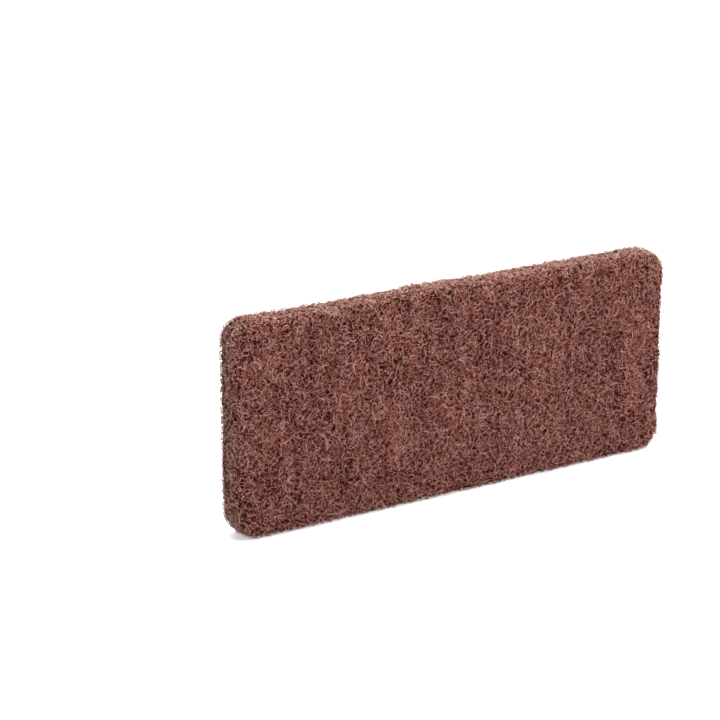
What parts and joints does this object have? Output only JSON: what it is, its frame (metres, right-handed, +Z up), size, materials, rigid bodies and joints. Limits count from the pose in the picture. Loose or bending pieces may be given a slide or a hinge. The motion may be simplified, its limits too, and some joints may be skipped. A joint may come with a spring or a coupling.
{
  "type": "abrasive cleaning pad",
  "caption": "Coarse reddish-brown scouring pad: a thick round-cornered slab of matted, tangled fibre web with softly rounded cut edges, standing on its long edge.",
  "frame": {"origin": "under the middle of the pad, on the surface that its long cut edge stands on", "axes": "+X along the length, +Y through the thickness away from the front face, +Z up along the height"},
  "size_m": [0.26, 0.02, 0.11],
  "materials": {
    "fibre_web": "matt tangled reddish-brown fibre with a dusty tan tone on the cut edges"
  },
  "bodies": {
    "root": {"web_slab": "fibre_web"}
  },
  "joints": []
}
